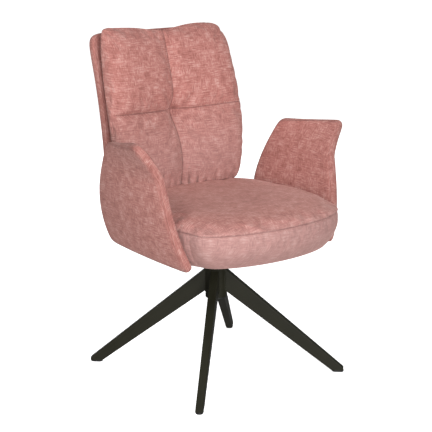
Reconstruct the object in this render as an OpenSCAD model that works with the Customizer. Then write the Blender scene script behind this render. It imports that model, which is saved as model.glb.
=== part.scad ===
// Upholstered swivel armchair on a four-legged steel base.
// The origin is on the swivel axis at floor level, +Z is up, and the sitter faces -Y.

/* [Base] */
// Distance from the swivel axis to the middle of a foot
foot_radius = 347; // [335:1:355]
// Outer diameter of the hub tube
hub_d = 60; // [58:1:62]
// Height of the hub tube's lower end
hub_bottom = 212; // [205:1:215]
// Width of a leg tube
leg_w = 24; // [22:1:26]
// Wall of the hub and leg tubes
tube_wall = 2.5; // [2:0.5:3]

/* [Seat] */
// Height of the underside of the seat board
seat_bottom = 378; // [372:1:384]
// Thickness of the seat board
board_t = 15; // [12:1:18]
// Depth of the seat in front of the swivel axis, at its widest level
seat_front = 312; // [306:1:318]
// Depth of the seat behind the swivel axis
seat_rear = 204; // [200:1:204]
// Rise of the seat's crown above its rolled edge
seat_crown = 19; // [14:1:22]

/* [Back] */
// Height of the top of the back cushion above the underside of the seat board
back_h = 575; // [565:1:585]
// Half of the thickness of the back cushion
cushion_half_t = 44; // [40:1:46]
// Thickness of the outer back shell with its padding
shell_t = 28; // [26:1:30]

/* [Arms] */
// Thickness of an arm panel with its padding
arm_t = 26; // [24:1:26]
// How far the front top corner of an arm flares outwards
arm_flare = 54; // [45:1:60]

/* [Hidden] */
$fn = 64;

// Colours
rose = [0.72, 0.45, 0.43];
black_paint = [0.10, 0.10, 0.09];
black_plastic = [0.06, 0.06, 0.06];
bright_steel = [0.70, 0.70, 0.72];
nylon = [0.85, 0.84, 0.80];
plywood = [0.76, 0.62, 0.44];
foam = [0.93, 0.90, 0.80];

// Base
hub_r = hub_d / 2;
glide_h = 5;
leg_round = 3.5;
leg_root_top = 298;
leg_root_bottom = 233;
leg_end_top = 13;
leg_end_bottom = -21;
leg_end_w = leg_w - 4;
leg_end_r = foot_radius + 17;
leg_angles = [45, 135, 225, 315]; // rear left, rear right, front right, front left

// Swivel bearing, from the board down
dust_t = 1.5;
plate_t = 4;
plate_w = 170;
plate_hole_x = 65;
race_t = 2.5;
ball_r = 3;
ball_gap = 0.15;
ball_pitch_r = 22;
ball_count = 14;
plate_top = seat_bottom - dust_t;
plate_bottom = plate_top - plate_t;
upper_race_bottom = plate_bottom - race_t;
ball_z = upper_race_bottom - ball_gap - ball_r;
lower_race_top = ball_z - ball_r - ball_gap;
lower_race_bottom = lower_race_top - race_t;
flange_t = 3;
hub_top = lower_race_bottom - flange_t;
spindle_r = 14;
run_gap = 0.05;
bolt_r = 3;
bolt_hole_r = 3.3;
bush_h = 24;
lower_bush_bottom = hub_bottom + 16;

// Arms
arm_bottom = seat_bottom;
arm_half_t = arm_t / 2;
arm_core_half_t = 4.5;
arm_rise = 301;
arm_drop = 8; // how far the lower edge's front end hangs below its middle
arm_bolt_z = 42; // above the arm's lower edge
arm_bolts_at = [[-120, 71], [0, 72], [110, 68]]; // place along the rail, and length
rail_x = 196;
rail_t = 16;

// Back
shell_bottom = seat_bottom + 8;
shell_top = seat_bottom + 558;
shell_half_w = 214;
back_bottom = seat_bottom + 117;
back_top = seat_bottom + back_h;
tuft_z = seat_bottom + 337;
tuft_end_y = 218; // the cord's front end, inside the cushion

ring_points = 48;

// ---------- surfaces ----------

// Angle of ring point i, with the points drawn together at the four corners
function ring_angle(i) = let (t = 360 * i / ring_points) t + 8.5 * sin(4 * t);

// Point of a rounded square of half side 1 at angle t: the higher n, the sharper its corners.
// A list n gives each corner its own sharpness.
function squircle(t, n) =
    let (
        k = is_list(n) ? n[floor(t / 90) % 4] : n,
        r = pow(pow(abs(cos(t)), k) + pow(abs(sin(t)), k), -1 / k)
    )
    [r * cos(t), r * sin(t)];

function mix(a, b, s) = a + (b - a) * s;
function ease(s) = let (c = min(max(s, 0), 1)) c * c * (3 - 2 * c);

// Unit normal of surface s(a, b)
function normal(s, a, b) =
    let (d = 0.01, n = cross(s(a + d, b) - s(a - d, b), s(a, b + d) - s(a, b - d))) n / norm(n);

// Closed solid through rings of equal length between two end points
module skin(first, rings, last) {
    n = len(rings[0]);
    m = len(rings);
    points = concat([first], [for (r = rings) each r], [last]);
    end = len(points) - 1;
    polyhedron(points, concat(
        [for (j = [0 : n - 1]) [0, 1 + j, 1 + (j + 1) % n]],
        [for (i = [0 : m - 2], j = [0 : n - 1])
            let (a = 1 + i * n + j, b = 1 + i * n + (j + 1) % n)
            each [[a, b + n, b], [a, a + n, b + n]]],
        [for (j = [0 : n - 1]) [end, 1 + (m - 1) * n + (j + 1) % n, 1 + (m - 1) * n + j]]
    ));
}

// Rings of a panel of half thickness h on surface s, whose half sides are about la and lb long.
// The panel is drawn in by inset, and its rim is half round.
function panel_rings(s, h, la, lb, n, inset) =
    let (
        faces = [0.35, 0.65, 0.88],
        turns = [90, 60, 30, 0, -30, -60, -90],
        steps = concat(
            [for (f = faces) [f, 90]],
            [for (t = turns) [1, t]],
            [for (k = [len(faces) - 1 : -1 : 0]) [faces[k], -90]]
        )
    )
    [for (p = steps)
        let (back = inset + h * (1 - cos(p[1])))
        [for (i = [0 : ring_points - 1])
            let (
                q = squircle(ring_angle(i), n) * p[0],
                a = q[0] * (1 - back / la),
                b = q[1] * (1 - back / lb)
            )
            s(a, b) - normal(s, a, b) * h * sin(p[1])]];

module panel(s, h, la, lb, n, inset = 0) {
    up = normal(s, 0, 0) * h;
    skin(s(0, 0) - up, panel_rings(s, h, la, lb, n, inset), s(0, 0) + up);
}

// ---------- base ----------

module hub_tube() {
    color(black_paint) difference() {
        translate([0, 0, hub_bottom]) cylinder(h = hub_top - hub_bottom, r = hub_r);
        translate([0, 0, hub_bottom - 1]) cylinder(h = hub_top - hub_bottom + 2, r = hub_r - tube_wall);
    }
}

module hub_end_cap() {
    color(black_plastic) union() {
        translate([0, 0, hub_bottom - 3]) cylinder(h = 3, r = hub_r);
        difference() {
            translate([0, 0, hub_bottom]) cylinder(h = 7, r = hub_r - tube_wall);
            translate([0, 0, hub_bottom]) cylinder(h = 8, r = hub_r - tube_wall - 3);
        }
    }
}

module lower_bush() {
    color(nylon) translate([0, 0, lower_bush_bottom]) difference() {
        cylinder(h = bush_h, r = hub_r - tube_wall);
        translate([0, 0, -1]) cylinder(h = bush_h + 2, r = spindle_r + run_gap);
    }
}

module upper_bush() {
    color(nylon) difference() {
        union() {
            translate([0, 0, hub_top]) cylinder(h = flange_t, r = hub_r + 1.5);
            translate([0, 0, hub_top - bush_h]) cylinder(h = bush_h, r = hub_r - tube_wall);
        }
        translate([0, 0, hub_top - bush_h - 1])
            cylinder(h = bush_h + flange_t + 2, r = spindle_r + run_gap);
    }
}

module race(z) {
    color(bright_steel) translate([0, 0, z]) difference() {
        cylinder(h = race_t, r = ball_pitch_r + 6);
        translate([0, 0, -1]) cylinder(h = race_t + 2, r = ball_pitch_r - 6);
    }
}

module bearing_lower_race() { race(lower_race_bottom); }
module bearing_upper_race() { race(upper_race_bottom); }

module ball_cage() {
    color(nylon) translate([0, 0, ball_z - 1]) difference() {
        cylinder(h = 2, r = ball_pitch_r + 5);
        translate([0, 0, -1]) cylinder(h = 4, r = ball_pitch_r - 5);
        for (i = [0 : ball_count - 1])
            rotate(360 * i / ball_count) translate([ball_pitch_r, 0, -1])
                cylinder(h = 4, r = ball_r + 0.1, $fn = 32);
    }
}

module bearing_balls() {
    color(bright_steel) for (i = [0 : ball_count - 1])
        rotate(360 * i / ball_count) translate([ball_pitch_r, 0, ball_z]) sphere(r = ball_r, $fn = 32);
}

// Thin upright slice of a leg at radius r, shrunk by wall
module leg_slice(r, low, high, w, wall) {
    half = w / 2 - leg_round;
    corner_r = leg_round - wall / 2;
    for (y = [-half, half], z = [low + leg_round, high - leg_round])
        translate([r, y * (1 - wall / w), z + (z < (low + high) / 2 ? wall / 2 : -wall / 2)])
            rotate([0, 90, 0]) cylinder(h = 0.1, r = corner_r, $fn = 24);
}

// A leg, or with a wall the hollow inside it, which stops short of the leg's closed end
module leg_solid(wall) {
    short = wall > 0 ? 5 : 0;
    rise = 0.8 * short;
    hull() {
        leg_slice(hub_r - 8, leg_root_bottom, leg_root_top, leg_w, wall);
        leg_slice(leg_end_r - short, leg_end_bottom + rise, leg_end_top + rise, leg_end_w, wall);
    }
}

module leg(angle) {
    color(black_paint) rotate(angle) difference() {
        leg_solid(0);
        leg_solid(tube_wall * 1.4);
        cylinder(h = 400, r = hub_r + 0.05);
        translate([0, -50, -50]) cube([500, 100, 50 + glide_h]);
    }
}

module leg_rear_left() { leg(leg_angles[0]); }
module leg_rear_right() { leg(leg_angles[1]); }
module leg_front_right() { leg(leg_angles[2]); }
module leg_front_left() { leg(leg_angles[3]); }

// Moulded plastic foot: a pad under the cut end of the leg, with a peg up inside the tube
module glide(angle) {
    pad_r = leg_end_w / 2;
    color(black_plastic) rotate(angle) union() {
        hull() {
            translate([foot_radius - 6, 0, 0]) cylinder(h = glide_h, r = pad_r, $fn = 32);
            translate([foot_radius + 8, 0, 0]) cylinder(h = glide_h, r = pad_r, $fn = 32);
        }
        translate([foot_radius - 10, -5, glide_h]) cube([10, 10, 6]);
    }
}

module glide_rear_left() { glide(leg_angles[0]); }
module glide_rear_right() { glide(leg_angles[1]); }
module glide_front_right() { glide(leg_angles[2]); }
module glide_front_left() { glide(leg_angles[3]); }

// ---------- swivel ----------

module swivel_plate() {
    half = plate_w / 2 - 12;
    color(black_paint) translate([0, 0, plate_bottom]) difference() {
        hull() for (x = [-half, half], y = [-half, half])
            translate([x, y, 0]) cylinder(h = plate_t, r = 12, $fn = 32);
        for (x = [-plate_hole_x, plate_hole_x], y = [-plate_hole_x, plate_hole_x])
            translate([x, y, -1]) cylinder(h = plate_t + 2, r = bolt_hole_r, $fn = 32);
        translate([0, 0, -1]) cylinder(h = plate_t + 2, r = spindle_r + run_gap);
    }
}

module spindle() {
    low = lower_bush_bottom - 2;
    color(bright_steel) difference() {
        translate([0, 0, low]) cylinder(h = plate_top - low, r = spindle_r);
        translate([0, 0, low - 1]) cylinder(h = 26, r = 5);
    }
}

module spindle_washer() {
    color(bright_steel) translate([0, 0, lower_bush_bottom - 5]) difference() {
        cylinder(h = 3, r = hub_r - tube_wall - 5);
        translate([0, 0, -1]) cylinder(h = 5, r = 5.2);
    }
}

module spindle_bolt() {
    color(bright_steel) union() {
        translate([0, 0, lower_bush_bottom - 11]) cylinder(h = 6, r = 9, $fn = 6);
        translate([0, 0, lower_bush_bottom - 5]) cylinder(h = 24, r = 4.9);
    }
}

// Button-head screw pointing along +Z from its head's seat, with a hexagon socket
module screw(length) {
    difference() {
        union() {
            translate([0, 0, -3.5]) cylinder(h = 3.5, r1 = 4, r2 = 5.8, $fn = 32);
            cylinder(h = length, r = bolt_r, $fn = 32);
        }
        translate([0, 0, -4]) cylinder(h = 2.5, r = 2.3, $fn = 6);
    }
}

module tee_nut(z) {
    translate([0, 0, z]) difference() {
        union() {
            cylinder(h = 1.5, r = 9, $fn = 32);
            translate([0, 0, -9]) cylinder(h = 9, r = 4, $fn = 32);
        }
        translate([0, 0, -10]) cylinder(h = 12, r = bolt_r + 0.05, $fn = 32);
    }
}

module at_plate_holes() {
    for (x = [-plate_hole_x, plate_hole_x], y = [-plate_hole_x, plate_hole_x])
        translate([x, y, 0]) children();
}

module plate_bolts() {
    color(bright_steel) at_plate_holes() translate([0, 0, plate_bottom])
        screw(plate_t + dust_t + board_t - 2);
}

module plate_tee_nuts() {
    color(bright_steel) at_plate_holes() tee_nut(seat_bottom + board_t);
}

// ---------- arms ----------

// Height above the arm's lower edge at length position a and height position b, both -1 to 1
function arm_h(a, b) = (b + 1) / 2 * (arm_rise + 6 * (a + 1));

// Outer face of an arm, as a distance from the middle of the chair: it leaves the seat steeply,
// stands nearly upright and flares out towards the front top corner
function arm_face(a, h) =
    let (front = (a + 1) / 2)
    mix(264 + 0.21 * h - 0.00017 * h * h, 253 + 49 * (1 - exp(-h / 85)) + 0.03 * h, front)
    + 8 * (1 - a * a)
    + arm_flare * pow(max(0, (h - 220) / 90), 1.4) * pow(max(0, front), 1.3);

// Front and rear edges of an arm at height position t, 0 to 1
function arm_front(t) = 77.5 * pow(max(t, 0), 1.1) - 209;
function arm_rear(t) = 131.2 + 165.8 * t - 311.4 * t * t + 83.3 * t * t * t;

// Middle surface of the arm on the sitter's left, at +X; its lower edge drops towards the front
function arm_middle(a, b) =
    let (t = (b + 1) / 2, h = arm_h(a, b))
    [arm_face(a, h) - arm_half_t,
        mix(arm_rear(t), arm_front(t), (a + 1) / 2),
        arm_bottom + h - arm_drop * a * (1 - t)];

arm_surface = function (a, b) arm_middle(a, b);

// Corners of an arm: front top, rear top, rear bottom, front bottom
arm_corners = [24, 22, 20, 24];

module arm_panel(h, inset) { panel(arm_surface, h, 160, 152, arm_corners, inset); }

// Holes for the arm's bolts, which reach past the ends of the bolts by extra
module arm_bolt_holes(r, extra) {
    for (b = arm_bolts_at)
        translate([rail_x - 5, b[0], arm_bottom + arm_bolt_z]) rotate([0, 90, 0])
            cylinder(h = b[1] + 5 + extra, r = r, $fn = 32);
}

module arm_core() {
    color(plywood) difference() {
        arm_panel(arm_core_half_t, 14);
        arm_bolt_holes(bolt_r + 0.1, 1);
    }
}

module arm_padding() {
    color(rose) difference() {
        arm_panel(arm_half_t, 0);
        arm_panel(arm_core_half_t + 0.2, 13.5);
        arm_bolt_holes(bolt_r + 0.3, 0);
    }
}

module arm_bolts() {
    color(bright_steel) for (b = arm_bolts_at)
        translate([rail_x, b[0], arm_bottom + arm_bolt_z]) rotate([0, 90, 0]) screw(b[1]);
}

module arm_core_left() { arm_core(); }
module arm_core_right() { mirror([1, 0, 0]) arm_core(); }
module arm_padding_left() { arm_padding(); }
module arm_padding_right() { mirror([1, 0, 0]) arm_padding(); }
module arm_bolts_left() { arm_bolts(); }
module arm_bolts_right() { mirror([1, 0, 0]) arm_bolts(); }

// ---------- seat ----------

// Half width of the seat at height h above the board's underside: it lies against the arms
function seat_half_w(h) = arm_face(0, max(h - 2, 0)) - arm_t - 15;

// Outline of the seat at angle t. It is half_w wide at the side and front deep, has bowed front
// and rear edges, and swells past the front ends of the arms.
function seat_point(t, half_w, front, rear, z) =
    let (
        q = squircle(t, 6),
        middle = -20,
        y0 = q[1] < 0 ? middle + q[1] * (front + middle) : middle + q[1] * (rear - middle),
        y = y0 + (q[1] < 0 ? 58 * q[0] * q[0] * -q[1] : 3 * (1 - q[0] * q[0]) * q[1]),
        swell = 14 * ease((-y - 196) / 50) - 6 * ease((y - 40) / 120)
            + 6 * (1 - pow(min(1, abs(y + 20) / 170), 2)),
        x = q[0] * (half_w + swell)
    )
    [x, y, z];

// Rings of the seat from the board's underside to the crown, drawn in by gap
function seat_rings(gap, low = 0) =
    let (
        side = [for (h = [0, board_t + 0.2, 40, 62, 80]) if (h >= low)
            [h, seat_half_w(h), seat_front - 24 + 24 * sin(min(90, h * 1.1)), seat_rear, 1]],
        roll_w = seat_half_w(80),
        roll = [for (t = [20 : 20 : 80])
            [80 + 29 * sin(t), roll_w - 30 * (1 - cos(t)), seat_front - 34 * (1 - cos(t)),
                seat_rear - 20 * (1 - cos(t)), 1]],
        last = roll[len(roll) - 1],
        crown = [for (s = [0.86, 0.7, 0.5, 0.3, 0.12])
            [last[0] + seat_crown * (1 - s * s), last[1], last[2], last[3], s]]
    )
    [for (r = concat(side, roll, crown))
        [for (i = [0 : ring_points - 1])
            let (
                p = seat_point(ring_angle(i), r[1] - gap, r[2] - gap, r[3] - gap, seat_bottom + r[0]),
                rise = r[0] > 80 ? -gap : 0
            )
            [p[0] * r[4], -50 + (p[1] + 50) * r[4], p[2] + rise]]];

function seat_pole(gap) = [0, -50, seat_bottom + 80 + 29 * sin(80) + seat_crown - gap];

module seat_solid(gap, low) {
    rings = seat_rings(gap, low);
    skin([0, -50, seat_bottom + low], rings, seat_pole(gap));
}

cover_t = 2.5;

module seat_cover() {
    inner = seat_rings(cover_t);
    outer = seat_rings(0);
    inner_down = [for (k = [len(inner) - 1 : -1 : 0]) inner[k]];
    color(rose) difference() {
        skin(seat_pole(cover_t), concat(inner_down, outer), seat_pole(0));
        arm_bolt_holes(bolt_hole_r, 0);
        mirror([1, 0, 0]) arm_bolt_holes(bolt_hole_r, 0);
    }
}

module seat_foam() {
    color(foam) difference() {
        seat_solid(cover_t + 1.2, board_t + 0.2);
        for (s = [-1, 1])
            translate([s > 0 ? rail_x - 12 : -260, -145, seat_bottom])
                cube([260 - rail_x + 12, 290, board_t + 44]);
        at_plate_holes() translate([0, 0, seat_bottom]) cylinder(h = board_t + 6, r = 12, $fn = 32);
        translate([-80, seat_rear - 32, seat_bottom]) cube([160, 60, board_t + 12]);
    }
}

module seat_board() {
    color(plywood) difference() {
        skin([0, -50, seat_bottom],
            [for (z = [0, board_t]) [for (i = [0 : ring_points - 1])
                seat_point(ring_angle(i), seat_half_w(0) - 4, seat_front - 29, seat_rear - 5,
                    seat_bottom + z)]],
            [0, -50, seat_bottom + board_t]);
        at_plate_holes() translate([0, 0, seat_bottom - 1]) cylinder(h = board_t + 2, r = 4.1, $fn = 32);
        for (x = [-1, 1]) translate([x * bracket_x, seat_rear - 24, seat_bottom - 1])
            cylinder(h = board_t + 2, r = bolt_hole_r, $fn = 32);
    }
}

module side_rail_left() {
    color(plywood) difference() {
        translate([rail_x, -140, seat_bottom + board_t]) cube([rail_t, 280, 40]);
        arm_bolt_holes(bolt_hole_r, 0);
    }
}

module side_rail_right() { mirror([1, 0, 0]) side_rail_left(); }

// Black non-woven sheet stapled under the seat
module dust_cover() {
    color(black_plastic) difference() {
        skin([0, -50, seat_bottom - dust_t],
            [for (z = [-dust_t, 0]) [for (i = [0 : ring_points - 1])
                seat_point(ring_angle(i), seat_half_w(0) - 6, seat_front - 31, seat_rear - 7,
                    seat_bottom + z)]],
            [0, -50, seat_bottom]);
        at_plate_holes() translate([0, 0, seat_bottom - 3]) cylinder(h = 6, r = bolt_hole_r, $fn = 32);
        for (x = [-1, 1]) translate([x * bracket_x - 22, seat_rear - 50, seat_bottom - 3])
            cube([44, 60, 6]);
    }
}

// ---------- back ----------

// Front to back place of the shell's middle at height h above the seat board
function shell_y(h) = 209 + 80 * pow(max(0, h - 102) / 450, 2) + shell_t / 2;

// How far the shell lies further back at x than at its sides
function shell_sag(x) = 8 * (1 - pow(x / shell_half_w, 2));
function shell_front(x, h) = shell_y(h) + shell_sag(x) - shell_t / 2;

// Front to back place of the cushion's middle plane at its sides, h above the seat board
function cushion_y(h) = let (d = (h - 122) / 1000) 146.7 + 103.1 * d + 271.9 * d * d;
function cushion_half_w(h) =
    let (d = min(h - 122, 440) / 1000)
    190.2 + 457.8 * d - 2068.1 * d * d + 4364.2 * d * d * d - 4140.2 * d * d * d * d;

// Height of the cushion's top edge: two lobes with a shallow dip between them
function cushion_top(a) = back_h - 14 * exp(-pow(a / 0.36, 2)) - 4 * pow(abs(a), 8);

function cushion_middle(a, b) =
    let (
        h = mix(back_bottom - seat_bottom, cushion_top(a), (b + 1) / 2),
        x = a * cushion_half_w(h)
    )
    [x, cushion_y(h) + 7 * (1 - a * a), seat_bottom + h];

// Corners of the cushion: the upper two, then the lower two
cushion_corners = [16, 16, 18, 18];

// Rings of the cushion from the middle of its back round to the middle of its front
function cushion_rings() =
    let (
        shares = [0.2, 0.4, 0.58, 0.72, 0.83, 0.91, 0.965, 1],
        steps = concat([for (s = shares) [s, 1]], [for (k = [len(shares) - 2 : -1 : 0]) [shares[k], -1]])
    )
    [for (p = steps)
        [for (i = [0 : ring_points - 1])
            let (
                q = squircle(ring_angle(i), cushion_corners) * p[0],
                full = sqrt(max(0, 1 - pow(p[0], 5))),
                m = cushion_middle(q[0], q[1]),
                front = 21 * (1 - q[0] * q[0]) - cushion_half_t,
                rear = shell_front(m[0], m[2] - seat_bottom) - 1 - m[1]
            )
            m + [0, (p[1] < 0 ? front : rear) * full, 0]]];

module back_cushion() {
    middle = cushion_middle(0, 0);
    rear = [middle[0], shell_front(middle[0], middle[2] - seat_bottom) - 1, middle[2]];
    color(rose) difference() {
        skin(rear, cushion_rings(), middle + [0, 21 - cushion_half_t, 0]);
        translate([0, tuft_end_y - 1, tuft_z]) rotate([-90, 0, 0]) cylinder(h = 60, r = 1.5, $fn = 16);
    }
}

function shell_middle(a, b) =
    let (
        h = mix(shell_bottom, shell_top, (b + 1) / 2) - seat_bottom,
        narrow = 1 - 0.08 * ease((180 - h) / 180),
        x = a * shell_half_w * narrow
    )
    [x, shell_y(h) + shell_sag(x), seat_bottom + h];

shell_surface = function (a, b) shell_middle(a, b);

shell_core_half_t = 5;
shell_corners = [16, 16, 9, 9];

module shell_core() {
    color(plywood) difference() {
        panel(shell_surface, shell_core_half_t, shell_half_w, 275, shell_corners, 14);
        shell_bolt_holes(bolt_r + 0.1);
        translate([0, 150, tuft_z]) rotate([-90, 0, 0]) cylinder(h = 150, r = 1.5, $fn = 16);
    }
}

module shell_padding() {
    color(rose) difference() {
        panel(shell_surface, shell_t / 2, shell_half_w, 275, shell_corners, 0);
        panel(shell_surface, shell_core_half_t + 0.2, shell_half_w, 275, shell_corners, 13.5);
        shell_bolt_holes(bolt_r + 0.3);
        translate([0, 150, tuft_z]) rotate([-90, 0, 0])
            cylinder(h = shell_y(tuft_z - seat_bottom) + 15 - 150, r = 1.8, $fn = 16);
    }
}

// Steel angle under the seat that carries the back shell
bracket_x = 60;
bracket_w = 40;
bracket_t = 3;
bracket_h = 62;
bracket_bolt_h = 42;
bracket_y = 212.3; // front of its upright leg, between the seat and the shell

module back_bracket(x) {
    color(black_paint) translate([x, 0, 0]) difference() {
        union() {
            translate([-bracket_w / 2, seat_rear - 46, seat_bottom - bracket_t])
                cube([bracket_w, bracket_y - seat_rear + 46 + bracket_t, bracket_t]);
            translate([-bracket_w / 2, bracket_y, seat_bottom - bracket_t])
                cube([bracket_w, bracket_t, bracket_h]);
        }
        translate([0, seat_rear - 24, seat_bottom - 10]) cylinder(h = 20, r = bolt_hole_r, $fn = 32);
        translate([0, bracket_y - 5, seat_bottom + bracket_bolt_h]) rotate([-90, 0, 0])
            cylinder(h = 20, r = bolt_hole_r, $fn = 32);
    }
}

module back_bracket_left() { back_bracket(bracket_x); }
module back_bracket_right() { back_bracket(-bracket_x); }

module shell_bolt_holes(r) {
    for (x = [-bracket_x, bracket_x])
        translate([x, bracket_y, seat_bottom + bracket_bolt_h]) rotate([-90, 0, 0])
            cylinder(h = 22, r = r, $fn = 32);
}

module bracket_bolts() {
    color(bright_steel) for (x = [-bracket_x, bracket_x]) {
        translate([x, seat_rear - 24, seat_bottom - bracket_t]) screw(board_t + bracket_t + 4);
        translate([x, bracket_y, seat_bottom + bracket_bolt_h]) rotate([-90, 0, 0]) screw(21);
    }
}

// Cord that pulls the cushion in, tied to a washer on the shell's core
module tuft_anchor() {
    color(nylon) translate([0, tuft_end_y, tuft_z]) rotate([-90, 0, 0])
        cylinder(h = shell_y(tuft_z - seat_bottom) + 14 - tuft_end_y, r = 1.4, $fn = 16);
}

// ---------- the chair ----------

hub_tube();
hub_end_cap();
lower_bush();
upper_bush();
bearing_lower_race();
leg_front_left();
leg_front_right();
leg_rear_left();
leg_rear_right();
glide_front_left();
glide_front_right();
glide_rear_left();
glide_rear_right();
ball_cage();
bearing_balls();
bearing_upper_race();
swivel_plate();
spindle();
spindle_washer();
spindle_bolt();
plate_bolts();
plate_tee_nuts();
seat_board();
side_rail_left();
side_rail_right();
dust_cover();
seat_foam();
seat_cover();
back_bracket_left();
back_bracket_right();
bracket_bolts();
shell_core();
shell_padding();
back_cushion();
tuft_anchor();
arm_core_left();
arm_core_right();
arm_padding_left();
arm_padding_right();
arm_bolts_left();
arm_bolts_right();
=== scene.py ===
import bmesh
import bpy
import numpy as np
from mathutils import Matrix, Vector


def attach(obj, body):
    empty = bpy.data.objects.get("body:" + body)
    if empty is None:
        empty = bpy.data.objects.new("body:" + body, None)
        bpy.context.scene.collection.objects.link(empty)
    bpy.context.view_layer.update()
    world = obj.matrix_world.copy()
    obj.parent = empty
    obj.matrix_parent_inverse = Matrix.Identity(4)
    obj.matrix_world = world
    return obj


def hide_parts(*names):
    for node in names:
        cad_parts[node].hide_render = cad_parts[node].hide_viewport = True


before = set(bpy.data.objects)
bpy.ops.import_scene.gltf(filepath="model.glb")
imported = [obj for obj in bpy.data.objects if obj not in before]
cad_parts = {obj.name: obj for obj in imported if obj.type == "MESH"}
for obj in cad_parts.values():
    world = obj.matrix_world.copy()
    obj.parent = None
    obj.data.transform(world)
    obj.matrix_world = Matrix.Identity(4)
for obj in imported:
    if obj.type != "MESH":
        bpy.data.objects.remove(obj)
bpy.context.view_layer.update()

# --- Studio -------------------------------------------------------------------------------
# A long lens at standing eye height, looking a little down on the chair's front right corner.
# A soft box stands in front, one high on the left and weak ones low down and at the rear. The
# white paper floor sweeps up into a round backdrop; it is lit for the camera only.

camera = bpy.data.objects.new("camera", bpy.data.cameras.new("camera"))
bpy.context.scene.collection.objects.link(camera)
bpy.context.scene.camera = camera
camera.data.lens = 107.8
camera.data.sensor_width = 36.0
camera.location = (-2.1548, -2.758, 1.315)
camera.rotation_euler = Vector((0.5974, 0.7646, -0.2419)).to_track_quat("-Z", "Y").to_euler()


def softbox(name, place, aim, size, watts, colour=(1.0, 1.0, 1.0)):
    """A square lamp of that side at place, turned to aim."""
    data = bpy.data.lights.new(name, "AREA")
    data.size = size
    data.energy = watts
    data.color = colour
    lamp = bpy.data.objects.new(name, data)
    bpy.context.scene.collection.objects.link(lamp)
    lamp.location = place
    lamp.rotation_euler = (Vector(aim) - Vector(place)).to_track_quat("-Z", "Y").to_euler()
    return lamp


softbox("key", (-1.3, -3.3, 1.2), (0, 0, 0.5), 1.4, 116)
softbox("left", (-2.6, -0.8, 3.0), (0, 0, 0.5), 1.2, 40)
softbox("bounce", (-1.7, -1.9, 0.12), (0, 0, 0.6), 1.2, 16)
softbox("rear", (1.3, 3.4, 1.7), (0, 0, 0.5), 1.4, 34)

world = bpy.data.worlds.new("studio")
bpy.context.scene.world = world
world.use_nodes = True
world.node_tree.nodes["Background"].inputs["Color"].default_value = (1, 1, 1, 1)
world.node_tree.nodes["Background"].inputs["Strength"].default_value = 0.27
bpy.context.scene.view_settings.view_transform = "Standard"


def linear(hex_colour):
    """sRGB hex to linear: under 0.04045 a straight line, above it the 2.4 power curve."""
    c = np.array([int(hex_colour[i : i + 2], 16) for i in (1, 3, 5)]) / 255
    c = np.where(c <= 0.04045, c / 12.92, ((c + 0.055) / 1.055) ** 2.4)
    return (*[float(x) for x in c], 1.0)


def add(tree, kind, settings=(), **inputs):
    """Adds one node. Settings are its properties; an input given a socket is linked, and any
    other input is set. Spaces in an input's name are written as underscores."""
    node = tree.nodes.new(kind)
    for key, value in dict(settings).items():
        setattr(node, key, value)
    for key, value in inputs.items():
        numbered = key[0] == "i" and key[1:].isdigit()
        socket = node.inputs[int(key[1:]) if numbered else key.replace("_", " ")]
        if isinstance(value, bpy.types.NodeSocket):
            tree.links.new(value, socket)
        else:
            socket.default_value = value
    return node


def material(name):
    """An empty node material, its tree and its output."""
    made = bpy.data.materials.new(name)
    made.use_nodes = True
    made.node_tree.nodes.clear()
    return made, made.node_tree, made.node_tree.nodes.new("ShaderNodeOutputMaterial")


floor_paint, tree, out = material("seamless_paper")
place = add(tree, "ShaderNodeTexCoord").outputs["Object"]
paper = add(tree, "ShaderNodeTexNoise", Vector=place, Scale=300.0)
tone = add(tree, "ShaderNodeMapRange", Value=paper.outputs["Fac"], To_Min=0.93, To_Max=0.97)
shade = add(tree, "ShaderNodeBsdfPrincipled", Base_Color=tone.outputs["Result"], Roughness=0.95)
shade.inputs["Emission Strength"].default_value = 0.86
shade.inputs["Emission Color"].default_value = (1, 1, 1, 1)
tree.links.new(shade.outputs[0], out.inputs[0])
floor_mesh = bpy.data.meshes.new("floor")
sweep = np.array([(0.001, 0), (3, 0), (6, 0), (7, 0.12), (8, 0.5), (9, 1.4), (9.7, 3), (10, 5), (10, 14)])
turn = np.linspace(0, 2 * np.pi, 97)[:-1, None]
rings = np.stack([sweep[:, 0] * np.cos(turn), sweep[:, 0] * np.sin(turn), sweep[:, 1] + 0 * turn], 2)
number = np.arange(rings[..., 0].size).reshape(rings.shape[:2])
after = np.roll(number, -1, 0)
sheet = np.stack([number[:, :-1], number[:, 1:], after[:, 1:], after[:, :-1]], 2).reshape(-1, 4)
floor_mesh.from_pydata(rings.reshape(-1, 3), [], sheet)
floor_mesh.polygons.foreach_set("use_smooth", np.ones(len(sheet), bool))
floor_mesh.materials.append(floor_paint)
floor = bpy.data.objects.new("floor", floor_mesh)
bpy.context.scene.collection.objects.link(floor)
floor.visible_diffuse = floor.visible_glossy = floor.visible_shadow = False

# --- Chenille -----------------------------------------------------------------------------
# The whole seat unit is covered in one dusty rose chenille: a plain weave of soft, uneven pile
# yarns about 1.6 mm thick. The tufted yarns lie both ways and break up into short slubs.


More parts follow.
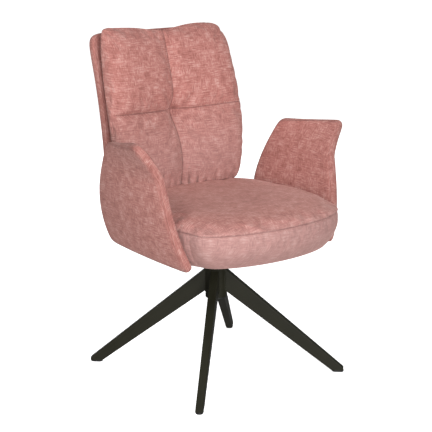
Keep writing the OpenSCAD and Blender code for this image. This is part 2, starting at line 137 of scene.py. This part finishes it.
def chenille(name, painted_sheen=0.0, high=0.492, low=0.462, dark="#84504a", mid="#b0756d", light="#d0a69e"):
    """Slubs are noise drawn out along each yarn direction of the cloth's own UV map, in metres.
    Which way lies on top changes over patches of a few centimetres. Within 1.5 mm of a seam, whose
    distance each point carries, the cloth dips and its colour is darkened as painted shade in the
    seam's groove. From the height high down to low the colour is greyed by up to the share given
    after the name: a painted sheen for the pale look of lit pile."""
    made, tree, out = material(name)
    cloth = add(tree, "ShaderNodeUVMap", {"uv_map": "cloth"}).outputs[0]
    place = add(tree, "ShaderNodeTexCoord").outputs["Object"]

    def spread(value, low, high, **ends):
        return add(tree, "ShaderNodeMapRange", Value=value, From_Min=low, From_Max=high, **ends).outputs[0]

    def streaks(long, wide, shift):
        drawn = {"Scale": (1 / long, 1 / wide, 1), "Location": (shift, shift, 0)}
        run = add(tree, "ShaderNodeMapping", Vector=cloth, **drawn).outputs[0]
        flat = {"noise_dimensions": "2D"}
        noise = add(tree, "ShaderNodeTexNoise", flat, Vector=run, Scale=1.0, Detail=1.5)
        return spread(noise.outputs["Fac"], 0.25, 0.75)

    def mixed(factor, a, b):
        return add(tree, "ShaderNodeMix", Factor=factor, A=a, B=b).outputs[0]

    weft = mixed(0.35, streaks(0.030, 0.0030, 0.0), streaks(0.008, 0.0014, 9.0))
    warp = mixed(0.35, streaks(0.0030, 0.016, 5.0), streaks(0.0014, 0.006, 3.0))
    patch = add(tree, "ShaderNodeTexNoise", Vector=place, Scale=38.0, Detail=1.0)
    which = spread(patch.outputs["Fac"], 0.35, 0.65, To_Min=0.2, To_Max=0.72)
    yarn = mixed(which, weft, warp)
    cloud = add(tree, "ShaderNodeTexNoise", Vector=place, Scale=42.0, Detail=3.0, Roughness=0.6)
    tone = mixed(0.26, yarn, spread(cloud.outputs["Fac"], 0.3, 0.7))
    ramp = add(tree, "ShaderNodeValToRGB", Fac=tone)
    ramp.color_ramp.elements[0].position = 0.12
    ramp.color_ramp.elements[0].color = linear(dark)
    ramp.color_ramp.elements[1].position = 0.88
    ramp.color_ramp.elements[1].color = linear(light)
    ramp.color_ramp.elements.new(0.5).color = linear(mid)
    # Painted sheen: from the height high down to low the colour is greyed, standing in for the pale look
    # that light gives the pile.
    level = add(tree, "ShaderNodeSeparateXYZ", Vector=place).outputs[2]
    sheen_share = spread(level, high, low, To_Min=0.0, To_Max=painted_sheen)
    sheen_grey = linear("#a08d8b")
    tinted = {"data_type": "RGBA"}
    with_painted_sheen = add(tree, "ShaderNodeMix", tinted, i0=sheen_share, i6=ramp.outputs[0], i7=sheen_grey).outputs[2]
    # Painted shade: near a seam the colour is darkened down to 0.6, as shade in the seam's groove; the same
    # factor also dips the bump.
    seam = add(tree, "ShaderNodeAttribute", {"attribute_name": "seam"}).outputs["Fac"]
    seam_dip_and_shade_map = add(tree, "ShaderNodeMapRange", {"interpolation_type": "SMOOTHSTEP"}, Value=seam)
    for key, value in {"From Min": 0.0002, "From Max": 0.0021, "To Min": 0.60, "To Max": 1.0}.items():
        seam_dip_and_shade_map.inputs[key].default_value = value
    seam_dip_and_shade = seam_dip_and_shade_map.outputs[0]
    tinted["blend_type"] = "MULTIPLY"
    colour = add(tree, "ShaderNodeMix", tinted, i0=1.0, i6=with_painted_sheen, i7=seam_dip_and_shade).outputs[2]
    height = add(tree, "ShaderNodeMath", {"operation": "MULTIPLY_ADD"}, i0=seam_dip_and_shade, i1=1.2, i2=yarn).outputs[0]
    bump = add(tree, "ShaderNodeBump", Height=height, Strength=0.5, Distance=0.0011).outputs[0]
    shade = add(tree, "ShaderNodeBsdfPrincipled", Base_Color=colour, Normal=bump, Roughness=0.9)
    shade.inputs["Sheen Weight"].default_value = 0.42
    shade.inputs["Sheen Roughness"].default_value = 0.5
    shade.inputs["Sheen Tint"].default_value = linear("#e9bfb6")
    shade.inputs["Specular IOR Level"].default_value = 0.2
    tree.links.new(shade.outputs[0], out.inputs[0])
    return made


rose_chenille = chenille("rose_chenille")


def measured(grid):
    """UV map in metres of a grid of points: each point's distance along its row and its column
    from the middle lines."""
    rows = np.linalg.norm(np.diff(grid, axis=0), axis=2).cumsum(0)
    columns = np.linalg.norm(np.diff(grid, axis=1), axis=2).cumsum(1)
    u = np.concatenate([np.zeros((1, grid.shape[1])), rows])
    v = np.concatenate([np.zeros((grid.shape[0], 1)), columns], 1)
    return np.stack([u - u[len(u) // 2], v - v[:, v.shape[1] // 2, None]], 2)


def upholstered(name, grids, seams, body="seat_unit", paint=rose_chenille):
    """One mesh from several grids of points that share their edges, its doubles merged and its
    faces turned outwards. Seams holds each grid's distances to the nearest seam, in metres."""
    points, faces, maps, start = [], [], [], 0
    for grid in grids:
        n, m = grid.shape[:2]
        number = start + np.arange(n * m).reshape(n, m)
        corners = [number[:-1, :-1], number[1:, :-1], number[1:, 1:], number[:-1, 1:]]
        faces.append(np.stack(corners, 2).reshape(-1, 4))
        points.append(grid.reshape(-1, 3))
        maps.append(measured(grid).reshape(-1, 2))
        start += n * m
    points, faces, maps = np.concatenate(points), np.concatenate(faces), np.concatenate(maps)
    mesh = bpy.data.meshes.new(name)
    mesh.from_pydata(points, [], faces)
    mesh.uv_layers.new(name="cloth").data.foreach_set("uv", maps[faces.ravel()].ravel())
    distance = np.concatenate([np.broadcast_to(d, g.shape[:2]).ravel() for d, g in zip(seams, grids)])
    mesh.attributes.new("seam", "FLOAT", "POINT").data.foreach_set("value", distance.astype(np.float32))
    shell = bmesh.new()
    shell.from_mesh(mesh)
    bmesh.ops.remove_doubles(shell, verts=shell.verts, dist=1e-5)
    bmesh.ops.dissolve_degenerate(shell, edges=shell.edges, dist=1e-6)
    bmesh.ops.recalc_face_normals(shell, faces=shell.faces)
    shell.to_mesh(mesh)
    shell.free()
    mesh.polygons.foreach_set("use_smooth", np.ones(len(mesh.polygons), bool))
    mesh.materials.append(paint)
    made = bpy.data.objects.new(name, mesh)
    bpy.context.scene.collection.objects.link(made)
    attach(made, body)
    return made


def ease(s):
    """Smooth step from 0 to 1."""
    c = np.clip(s, 0, 1)
    return c * c * (3 - 2 * c)


def mix(a, b, s):
    return a + (b - a) * s


def hump(x, middle, width):
    """Bell curve: 1 at the middle, 1/e at one width from it."""
    return np.exp(-(((x - middle) / width) ** 2))


def rounded_square(n, m, upper, lower, gather=1.0):
    """Grid over a square from -1 to 1, its lines drawn together at the edges as a sine does by the
    share gather, then its corners rounded by drawing each point in by (1 + |uv|^k)^(-1/k), where k
    is upper in the upper half and lower in the lower half."""
    s, t = np.linspace(-1, 1, n), np.linspace(-1, 1, m)
    s = mix(s, np.sin(s * np.pi / 2), gather)
    t = mix(t, np.sin(t * np.pi / 2), gather)
    u, v = np.meshgrid(s, t, indexing="ij")
    sharp = np.where(v > 0, upper, lower)
    k = (1 + np.abs(u * v) ** sharp) ** (-1 / sharp)
    return u, v, u * k, v * k


def rim_of(u, v, a, b):
    """The points round the edge of a grid, in order, with the first one repeated at the end."""
    def loop(g):
        return np.concatenate([g[:-1, 0], g[-1, :-1], g[:0:-1, -1], g[0, ::-1]])
    return [loop(g) for g in (u, v, a, b)]


def puff(made, held, pressure, most, steps=20):
    """Blows the cover up as the stuffing does: cloth with air pressure inside and no gravity, held
    where the list held is 1, for a few steps. No point moves further than most."""
    group = made.vertex_groups.new(name="held")
    held = np.asarray(held)
    for level in np.unique(np.round(held, 1)):
        if level > 0:
            members = [int(i) for i in np.flatnonzero(np.abs(held - level) < 0.05)]
            group.add(members, float(level), "REPLACE")
    rest = np.array([v.co for v in made.data.vertices])
    cloth = made.modifiers.new("cloth", "CLOTH")
    cloth.settings.quality = 6
    cloth.settings.mass = 0.25
    cloth.settings.tension_stiffness = 20
    cloth.settings.compression_stiffness = 20
    cloth.settings.shear_stiffness = 8
    cloth.settings.bending_stiffness = 0.6
    cloth.settings.air_damping = 4
    cloth.settings.use_pressure = True
    cloth.settings.uniform_pressure_force = pressure
    cloth.settings.shrink_min = -0.02
    cloth.settings.vertex_group_mass = "held"
    cloth.settings.effector_weights.gravity = 0
    cloth.collision_settings.use_collision = False
    cloth.point_cache.frame_start = 1
    cloth.point_cache.frame_end = steps
    for step in range(1, steps + 1):
        bpy.context.scene.frame_set(step)
    blown = made.evaluated_get(bpy.context.evaluated_depsgraph_get()).to_mesh()
    moved = np.array([v.co for v in blown.vertices]) - rest
    made.modifiers.remove(cloth)
    bpy.context.scene.frame_set(1)
    far = np.linalg.norm(moved, axis=1, keepdims=True)
    moved *= most * np.tanh(far / most) / np.maximum(far, 1e-9)
    made.data.vertices.foreach_set("co", (rest + moved).astype(np.float32).ravel())
    made.data.update()
    made.vertex_groups.clear()


# --- Back cushion -------------------------------------------------------------------------
# A loose-looking cushion of foam and fibre, 90 mm thick, sewn from four front panels. A centre
# seam and a cross seam meet at a tuft that is pulled through to the shell's board.

shell_half_t = 0.014
back_foot, back_head = 0.495, 0.953


def shell_y(z):
    """Middle of the shell at its sides: upright behind the seat, then leaning back as a square."""
    return 0.209 + 0.080 * (np.maximum(0, z - 0.480) / 0.450) ** 2 + shell_half_t


def shell_sag(x):
    """How far the shell lies further back at x than at its sides."""
    return 0.008 * (1 - (x / 0.214) ** 2)


def cushion_middle(a, b):
    """Middle surface of the cushion: widest two fifths of the way up, two lobes along its top of
    which the one at -X is fuller at its corner, leaning back in a gentle curve."""
    top = back_head - 0.014 * np.exp(-((a / 0.36) ** 2)) - 0.001 * np.abs(a) ** 8
    top = top - 0.009 * a * np.abs(a) ** 5
    z = mix(back_foot, top, (b + 1) / 2)
    d = np.minimum(z - 0.5, 0.44)
    x = a * (0.1902 + 0.4578 * d - 2.0681 * d**2 + 4.3642 * d**3 - 4.1402 * d**4)
    y = 0.1467 + 0.1031 * (z - 0.5) + 0.2719 * (z - 0.5) ** 2 + 0.007 * (1 - a**2)
    return x, y, z


def cross_seam(x):
    return 0.718 + 0.006 * ease(np.abs(x) / 0.2)


def pleat(x, z):
    """Depth of the gathered pleats along the cushion's foot."""
    low = np.maximum(0, 1 - (z - back_foot) / (0.062 + 0.014 * np.sin(x * 61)))
    low = low * (0.45 + 0.55 * hump(x, 0.03, 0.06))
    return 0.0210 * low**1.2 * (0.5 + 0.5 * np.cos(x * 2 * np.pi / 0.030 + 2.4 * np.sin(x * 19) + 0.6)) ** 3


def furrows(x, z):
    """Depth of the cushion's seams and folds at x across and z up, in metres."""
    centre = 0.020 + 0.030 * hump(z, 0.703, 0.045)
    centre = centre + 0.006 * ease((0.56 - z) / 0.06) - 0.006 * ease((z - 0.86) / 0.08)
    centre *= 0.45 * np.exp(-np.abs(x / 0.062) ** 1.6) + 0.33 * hump(x, 0, 0.020) + 0.22 * hump(x, 0, 0.006)
    fade = mix(1.0, 0.75, ease((x + 0.02) / 0.1))
    line = cross_seam(x)
    cross = fade * (0.007 * hump(z, line - 0.002, 0.028) + 0.009 * hump(z, line, 0.0045))
    fold = 0.006 * hump(z, 0.680 - 0.10 * np.abs(x) * (x < 0), 0.0075)
    fold = fold * ease((-x - 0.002) / 0.02) * ease((x + 0.14) / 0.07)
    roll = -0.004 * hump(z, 0.697, 0.010) * ease((-x - 0.01) / 0.03) * ease((x + 0.12) / 0.06)
    pull = 0.0025 * np.cos(9 * np.arctan2(z - 0.705, x) + 0.7) * hump(np.hypot(x, z - 0.705), 0.062, 0.034)
    slack = 0.0016 * np.sin(z * 190 + 7 * np.sin(x * 17))
    slack = slack * hump(np.abs(x), 0.07, 0.045) * hump(z, 0.58, 0.07)
    return centre + cross + fold + roll + pleat(x, z) + pull + slack


def cushion_front(n, m):
    """Front grid and its distances to a seam, drawn short where the pleats fold deep so that their folds
    are painted darker as shade. One row of the grid is drawn onto the cross seam, and the tuft stops
    short of its anchor."""
    u, v, a, b = rounded_square(n, m, 18, 18)
    x, y, z = cushion_middle(a, b)
    row = int(np.abs(z[n // 2] - cross_seam(0)).argmin())
    drift = (cross_seam(x[:, row]) - z[:, row])[:, None] * (1 - np.abs(u) ** 24)
    z = z + drift * hump(np.arange(m) - row, 0, 12)
    full = np.sqrt((1 - np.abs(u) ** 5) * (1 - np.abs(v) ** 5))
    hollow = 0.021 * (1 - a**2)
    lumbar = 0.006 * hump(z, 0.60, 0.055) * (1 - a**2)
    wave = 0.0016 * np.sin(x * 31 + z * 17) * np.sin(z * 27 - x * 13 + 1)
    front = -0.044 + hollow - lumbar + furrows(x, z) + wave
    rim = 0.004 + 0.11 * (1 - np.maximum(np.abs(u), np.abs(v)))
    seam = np.minimum(np.minimum(np.abs(x), np.abs(z - cross_seam(x))), rim)
    # In the pleats the distance to a seam is drawn short: painted shade in their folds.
    seam = np.minimum(seam, 0.0030 * (1 - pleat(x, z) / 0.011) + 0.0004)
    deepest = 0.2145 + 4 * np.maximum(0, np.hypot(x, z - 0.715) - 0.005)
    return np.stack([x, np.minimum(y + full * front, deepest), z], 2), np.maximum(seam, 0)


def cushion_rear(n, m):
    u, v, a, b = rounded_square(n, m, 18, 18)
    x, y, z = cushion_middle(a, b)
    full = np.sqrt((1 - np.abs(u) ** 5) * (1 - np.abs(v) ** 5))
    rear = shell_y(z) + shell_sag(x) - shell_half_t - 0.001
    return np.stack([x, mix(y, rear, full), z], 2)


front, seam = cushion_front(141, 151)
rear = cushion_rear(141, 151)
# The cushion's lower part gets painted sheen: its colour is greyed from 0.76 m down to 0.58 m.
cushion_paint = chenille("rose_chenille_cushion_painted_sheen", 0.28, 0.76, 0.58)
back_cushion = upholstered("back_cushion_cover", [front, rear], [seam, 0.02], paint=cushion_paint)
x, y, z = np.array([v.co for v in back_cushion.data.vertices]).T
held = 0.9 * hump(x, 0, 0.006) + 0.7 * hump(z, cross_seam(x), 0.006) + hump(np.hypot(x, z - 0.71), 0, 0.02)
behind = y > 0.1467 + 0.1031 * (z - 0.5) + 0.2719 * (z - 0.5) ** 2 + 0.007
puff(back_cushion, np.maximum(np.clip(held, 0, 1), behind), 3.0, 0.008)
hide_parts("back_cushion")

# --- Back shell ---------------------------------------------------------------------------
# A moulded plywood board under thin foam, covered front and back, with the covers sewn together
# round a half-round edge. It runs down behind the seat.


def panel(surface, half_t, half_a, half_b, corners, edge, n, m, swell=0.002, gather=0.75, band_shade=1.0):
    """Grids of a padded panel on a middle surface: a face, a band round its edge and the other
    face. Half_a and half_b are its half sides in metres. The band's section is a squarish arc.
    Its middle is painted darker as if it lay within the given distance of a seam: painted shade on the
    band."""
    step = 0.01

    def at(a, b, back, out):
        a, b = a * (1 - back / half_a), b * (1 - back / half_b)
        p = surface(a, b)
        along_a = surface(a + step, b) - surface(a - step, b)
        across = np.cross(along_a, surface(a, b + step) - surface(a, b - step))
        return p + across / np.linalg.norm(across, axis=-1, keepdims=True) * np.asarray(out)[..., None]

    u, v, _, _ = rounded_square(n, m, 8, 8, gather)
    sharp = np.select([(u > 0) & (v > 0), (u <= 0) & (v > 0), (u <= 0) & (v <= 0)], corners[:3], corners[3])
    k = (1 + np.abs(u * v) ** sharp) ** (-1 / sharp)
    a, b = u * k, v * k
    full = np.sqrt((1 - np.abs(u) ** 4) * (1 - np.abs(v) ** 4))
    faces = [at(a, b, edge, side * (half_t + swell * full)) for side in (1, -1)]
    _, _, ra, rb = rim_of(u, v, a, b)
    turn = np.linspace(90, -90, 19)
    power = 0.75
    out = np.sign(np.sin(np.radians(turn))) * np.abs(np.sin(np.radians(turn))) ** power * half_t
    back = edge * (1 - np.maximum(0, np.cos(np.radians(turn))) ** power)
    seam = 0.0014 * (hump(turn, 58, 9) + hump(turn, -58, 9))
    out = out * (1 - seam / half_t)
    back = back + seam * 0.6
    band = at(ra[:, None], rb[:, None], back[None, :], np.broadcast_to(out, (len(ra), len(out))))
    near = np.minimum(np.abs(turn - 58), np.abs(turn + 58))[None, :] * half_t * 0.024
    # A small cap paints the band's whole middle darker: painted shade.
    near = np.minimum(near, band_shade)
    flat = 0.011 + 0.1 * (1 - np.maximum(np.abs(u), np.abs(v)))
    return [faces[0], band, faces[1]], [flat, near, flat]


def shell_middle(a, b):
    """Middle surface of the shell, a little narrower behind the seat."""
    z = mix(0.386, 0.936, (b + 1) / 2)
    x = a * 0.214 * (1 - 0.08 * ease((0.558 - z) / 0.18))
    return np.stack([x, shell_y(z) + shell_sag(x), z], -1)


grids, seams = panel(shell_middle, shell_half_t, 0.214, 0.275, [16, 16, 9, 9], 0.013, 64, 90, 0.0015)
back_shell = upholstered("back_shell_cover", grids, seams)
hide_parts("shell_padding")

# --- Arms ---------------------------------------------------------------------------------
# Each arm is a bent plywood wing under 8 mm of foam, bolted to a rail inside the seat. Its face
# covers meet a narrow band round the edge. The front top corner flares out, and the right arm is
# stuffed a little higher there.

arm_foot, arm_rise, arm_half_t = 0.378, 0.301, 0.013


def arm_face(a, h):
    """Outer face of an arm, as a distance from the chair's middle, at length a and height h."""
    front = (a + 1) / 2
    upright = 0.253 + 0.049 * (1 - np.exp(-h / 0.085)) + 0.03 * h
    flare = 0.054 * (np.maximum(0, (h - 0.220) / 0.090)) ** 1.4 * np.maximum(0, front) ** 1.3
    return mix(0.264 + 0.21 * h - 0.17 * h**2, upright, front) + 0.008 * (1 - a**2) + flare


def arm_middle(a, b, lift):
    """Middle surface of the arm at +X: its rear edge bulges back low down, and its front edge
    sweeps back as it rises. Lift raises the front top corner."""
    t = (b + 1) / 2
    h = t * (arm_rise + 0.006 * (a + 1))
    rear = 0.1312 + 0.1658 * t - 0.3114 * t**2 + 0.0833 * t**3
    fore = 0.0775 * np.maximum(t, 0) ** 1.1 - 0.209
    y = mix(rear, fore, (a + 1) / 2)
    z = arm_foot + h - 0.008 * a * (1 - t) + lift * ease((a + 1) / 2) * np.maximum(t, 0) ** 3
    return np.stack([arm_face(a, h) - arm_half_t, y, z], -1)


for side, name, lift, corner in ((1, "left", 0.0, 24), (-1, "right", 0.012, 10)):
    square = [corner, 22, 20, 24]
    middle = lambda a, b: arm_middle(a, b, lift)
    # The arms' edge bands are painted darker all along: painted shade on the band.
    grids, seams = panel(middle, arm_half_t, 0.160, 0.152, square, 0.010, 90, 84, band_shade=0.00125)
    arm = upholstered(f"arm_cover_{name}", [g * (side, 1, 1) for g in grids], seams)
    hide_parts(f"arm_padding_{name}")

# --- Seat cushion -------------------------------------------------------------------------
# Thick moulded foam on a plywood board. The top panel of the cover is crowned and meets a deep
# border at a seam all round; the border is pulled under the board and stapled.

seat_foot, seat_seam = 0.378, 0.4705


def seat_outline(p, q, h, out=0.0):
    """Point of the seat at (p, q) of a square, on the level h above the board: bowed at the front
    and the rear, and swelling past the arms' front ends."""
    half_w = arm_face(0.0, np.maximum(h - 0.002, 0)) - 0.041 + out
    fore = 0.288 + 0.024 * np.sin(np.minimum(np.pi / 2, h * 19.2)) + out
    y = -0.020 + np.where(q < 0, q * (fore - 0.020) - 0.058 * p**2 * q, q * 0.224 + 0.003 * (1 - p**2) * q)
    swell = 0.014 * ease((-y - 0.196) / 0.050) - 0.006 * ease((y - 0.040) / 0.120)
    swell = swell + 0.006 * (1 - np.minimum(1, np.abs(y + 0.02) / 0.17) ** 2)
    return p * (half_w + swell), y


def seat_top(n, m):
    u, v, a, b = rounded_square(n, m, 6, 6, 0.9)
    h = seat_seam - seat_foot
    x, y = seat_outline(a, b, np.full_like(a, h))
    steep = np.where(v < 0, 3.2, 12.0)
    beside = mix(6, 18, ease((v + 0.85) / 0.5))
    full = np.sqrt(np.maximum(0, (1 - np.abs(u) ** beside) * (1 - np.abs(v) ** steep)))
    crown = 0.036 - 0.004 * b - 0.008 * np.abs(a) ** 3
    wave = 0.0012 * np.sin(x * 29 + 1) * np.sin(y * 25 + x * 9)
    z = seat_seam + full * (crown + wave)
    lip = 1 + 0.010 * hump(full, 0.45, 0.30) * ease(full * 8)
    return np.stack([x * lip, y * lip, z], 2), (u, v, a, b)


top, square = seat_top(131, 141)
_, _, pa, pb = rim_of(*square)
down = np.linspace(0, 1, 26)[None, :]
h = (seat_seam - seat_foot) * (1 - down)
bulge = 0.0045 * np.sin(np.pi * down) ** 0.8 - 0.0016 * hump(down, 0, 0.05)
x, y = seat_outline(pa[:, None], pb[:, None], h + 0 * pa[:, None], bulge + 0 * pa[:, None])
border = np.stack([x, y, seat_foot + h + 0 * x], 2)
foot = border[:, -1]
under = np.linspace(0, 1, 7)[None, :, None]
turned = foot[:, None] + (np.array([0, -0.05, seat_foot]) - foot[:, None]) * under * 0.08
turned[..., 2] = seat_foot - 0.0006 - 0.0008 * np.sin(np.pi * np.minimum(1, under[..., 0] * 2))
turned[:, 0] = foot
from_rim = 0.25 * (1 - np.maximum(np.abs(square[0]), np.abs(square[1])))
# The seat's border gets painted sheen: its colour is greyed from 0.502 m down to 0.462 m.
seat_paint = chenille("rose_chenille_seat_painted_sheen", 0.42, 0.502, 0.462)
# Near these seam lines the cloth is painted darker, as shade in the seams' grooves.
seams = [from_rim + 0.0006, 0.0925 * down + 0.0006, 0.05]
seat_cover = upholstered("seat_cushion_cover", [top, border, turned], seams, paint=seat_paint)
co = np.array([v.co for v in seat_cover.data.vertices])
held = np.clip((co[:, 2] < seat_foot + 0.004) * 1.0 + 0.6 * hump(co[:, 2], seat_seam, 0.003), 0, 1)
puff(seat_cover, held, 2.0, 0.004)
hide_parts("seat_cover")

for soft in (back_cushion, back_shell, seat_cover):
    smooth = soft.modifiers.new("fine", "SUBSURF")
    smooth.levels = smooth.render_levels = 1

# --- Base ---------------------------------------------------------------------------------
# Four tapered rectangular steel tubes welded to a hub tube, powder coated a warm matt black. They
# stand on moulded plastic glides, and a plastic cap closes the tube's lower end.

def finish(name, low, high, rough, patch, grain, relief, metal=0.0, stretch=(1, 1, 1), shine=0.5):
    """A surface whose colour wanders from low to high and its roughness by 0.1, over patches of
    that many metres drawn out by stretch. Its grain, in metres, stands up by relief."""
    made, tree, out = material(name)
    place = add(tree, "ShaderNodeTexCoord").outputs["Object"]
    drawn = add(tree, "ShaderNodeMapping", Vector=place, Scale=stretch).outputs[0]
    film = add(tree, "ShaderNodeTexNoise", Vector=drawn, Scale=1 / patch, Detail=3.0).outputs["Fac"]
    fine = add(tree, "ShaderNodeTexNoise", Vector=drawn, Scale=1 / grain, Detail=2.0).outputs["Fac"]
    both = add(tree, "ShaderNodeMix", Factor=0.35, A=film, B=fine).outputs[0]
    ramp = add(tree, "ShaderNodeValToRGB", Fac=both)
    ramp.color_ramp.elements[0].position = 0.3
    ramp.color_ramp.elements[1].position = 0.7
    ramp.color_ramp.elements[0].color = linear(low)
    ramp.color_ramp.elements[1].color = linear(high)
    ends = {"To_Min": rough - 0.05, "To_Max": rough + 0.05}
    dull = add(tree, "ShaderNodeMapRange", Value=film, From_Min=0.3, From_Max=0.7, **ends)
    bump = add(tree, "ShaderNodeBump", Height=fine, Strength=0.5, Distance=relief)
    skin = {"Roughness": dull.outputs[0], "Normal": bump.outputs[0], "Metallic": metal}
    shade = add(tree, "ShaderNodeBsdfPrincipled", Base_Color=ramp.outputs[0], **skin)
    shade.inputs["Specular IOR Level"].default_value = shine
    tree.links.new(shade.outputs[0], out.inputs[0])
    return made


def repaint(names, paint):
    """Gives these CAD nodes that material."""
    for name in names.split():
        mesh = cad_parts[name].data
        mesh.materials.clear()
        mesh.materials.append(paint)


# matt powder coat with a fine orange-peel grain, a warm black
coat = ("matt_black_powder_coat", "#1a190e", "#242318")
powder_coat = finish(*coat, 0.56, 0.07, 0.0011, 0.00008, shine=0.22)
repaint("hub_tube swivel_plate back_bracket_left back_bracket_right", powder_coat)
repaint("leg_front_left leg_front_right leg_rear_left leg_rear_right", powder_coat)

# --- Weld beads ---------------------------------------------------------------------------
# One rippled fillet weld round the root of each leg, under the powder coat. A bead is a ring of
# 2.2 mm radius drawn round the leg's section on the face of the hub tube.

leg_turn = np.radians([45, 135, 225, 315])[:, None, None]
along = np.linspace(0, 2 * np.pi, 221)[None, :, None]
around = np.linspace(0, 2 * np.pi, 13)[None, None, :]
corner = (np.abs(np.cos(along)) ** 9 + np.abs(np.sin(along)) ** 9) ** (-1 / 9)
wide, tall = 0.0125 * corner * np.cos(along), 0.0325 * corner * np.sin(along)
thick = 0.0022 + 0.00035 * np.sin(along * 58) + 0.0002 * np.sin(along * 7)
side = wide + thick * np.cos(around) * np.cos(along)
up = 0.2592 + tall + thick * np.cos(around) * np.sin(along)
reach = np.sqrt(0.030**2 - np.minimum(np.abs(side), 0.02) ** 2) + thick * np.sin(around)
x = reach * np.cos(leg_turn) - side * np.sin(leg_turn)
y = reach * np.sin(leg_turn) + side * np.cos(leg_turn)
ring = np.stack(np.broadcast_arrays(x, y, up), -1)
upholstered("weld_beads", list(ring), [0.02] * 4, "base", powder_coat)

# injection-moulded polypropylene, lightly spark-eroded
black_plastic = finish("moulded_black_plastic", "#111111", "#1b1b1a", 0.55, 0.03, 0.0006, 0.00005)
repaint("hub_end_cap glide_front_left glide_front_right glide_rear_left glide_rear_right", black_plastic)

# --- Swivel and fixings -------------------------------------------------------------------
# A thrust bearing of steel balls in a nylon cage lies between two pressed races. The spindle is
# pressed into the seat's plate and turns in two nylon bushes; screws hold the rest.

# natural nylon, turned or moulded, a waxy off-white
natural_nylon = finish("natural_nylon", "#d2ccba", "#e4dfd0", 0.42, 0.02, 0.0008, 0.00002)
repaint("lower_bush upper_bush ball_cage tuft_anchor", natural_nylon)

# bright zinc plate over steel, with a faint drawn-out crystal pattern
zinc_plate = finish("zinc_plated_steel", "#a9acb0", "#c9ccd0", 0.30, 0.006, 0.0012, 0.00002, 1.0)
repaint("bearing_lower_race bearing_upper_race spindle_washer spindle_bolt plate_bolts", zinc_plate)
repaint("plate_tee_nuts bracket_bolts arm_bolts_left arm_bolts_right", zinc_plate)

# ground bearing steel with turning marks round the axis
ground_steel = finish("ground_steel", "#8f9296", "#b3b6b9", 0.22, 0.02, 0.0006, 0.00001, 1.0, (1, 1, 30))
repaint("spindle bearing_balls", ground_steel)

# --- Frame of the seat --------------------------------------------------------------------
# Birch plywood board, rails and bent wing cores, a block of cut foam, and a non-woven sheet
# stapled underneath.

# raw rotary-cut birch: grain drawn out along the board, thin dark lines every 1.4 mm on its edges
birch, tree, out = material("birch_plywood")
place = add(tree, "ShaderNodeTexCoord").outputs["Object"]
drawn = add(tree, "ShaderNodeMapping", Vector=place, Scale=(60, 4, 60)).outputs[0]
grain = add(tree, "ShaderNodeTexNoise", Vector=drawn, Scale=1.0, Detail=4.0).outputs["Fac"]
layers = add(tree, "ShaderNodeTexWave", {"bands_direction": "Z"}, Vector=place, Scale=36.0, Distortion=0.4)
plies = layers.outputs["Fac"]
both = add(tree, "ShaderNodeMix", Factor=0.3, A=grain, B=plies).outputs[0]
ramp = add(tree, "ShaderNodeValToRGB", Fac=both)
ramp.color_ramp.elements[0].position = 0.25
ramp.color_ramp.elements[0].color = linear("#b08f62")
ramp.color_ramp.elements[1].color = linear("#dcc498")
bump = add(tree, "ShaderNodeBump", Height=grain, Strength=0.4, Distance=0.0002)
shade = add(tree, "ShaderNodeBsdfPrincipled", Base_Color=ramp.outputs[0], Normal=bump.outputs[0])
shade.inputs["Roughness"].default_value = 0.62
tree.links.new(shade.outputs[0], out.inputs[0])
repaint("seat_board side_rail_left side_rail_right shell_core arm_core_left arm_core_right", birch)

# cut polyurethane foam with open cells of 1 mm
cut_foam = finish("cut_foam", "#d9cfae", "#ece5cd", 0.95, 0.05, 0.0010, 0.0006)
repaint("seat_foam", cut_foam)

# spun-bonded black sheet, bonded in a fine pattern
lining = finish("spun_bonded_lining", "#0f0f10", "#1d1d1e", 0.85, 0.02, 0.0012, 0.0002)
repaint("dust_cover", lining)

# --- Staples ------------------------------------------------------------------------------
# Steel staples 9 mm long hold the lining and the hem of the cover to the board, every 25 mm round
# its edge, a little askew as a hand-held gun sets them.

place = np.linspace(0, 2 * np.pi, 68)[:-1]
corner = (np.abs(np.cos(place)) ** 6 + np.abs(np.sin(place)) ** 6) ** (-1 / 6)
x, y = seat_outline(corner * np.cos(place), corner * np.sin(place), np.zeros_like(place), -0.015)
heading = np.arctan2(np.roll(y, -1) - np.roll(y, 1), np.roll(x, -1) - np.roll(x, 1))
heading = heading + 0.12 * np.sin(place * 37)
box = np.array([(i, j, k) for i in (-1, 1) for j in (-1, 1) for k in (-1, 1)]) * (0.0045, 0.0005, 0.0004)
c, d = np.cos(heading)[:, None], np.sin(heading)[:, None]
wires = [x[:, None] + box[:, 0] * c - box[:, 1] * d, y[:, None] + box[:, 0] * d + box[:, 1] * c]
wires = np.stack([*wires, 0.3762 + box[:, 2] + 0 * c], 2)
sides = np.array([(0, 1, 3, 2), (4, 6, 7, 5), (0, 4, 5, 1), (2, 3, 7, 6), (0, 2, 6, 4), (1, 5, 7, 3)])
mesh = bpy.data.meshes.new("staples")
mesh.from_pydata(wires.reshape(-1, 3), [], (sides + 8 * np.arange(len(x))[:, None, None]).reshape(-1, 4))
mesh.materials.append(zinc_plate)
staples = bpy.data.objects.new("staples", mesh)
bpy.context.scene.collection.objects.link(staples)
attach(staples, "seat_unit")
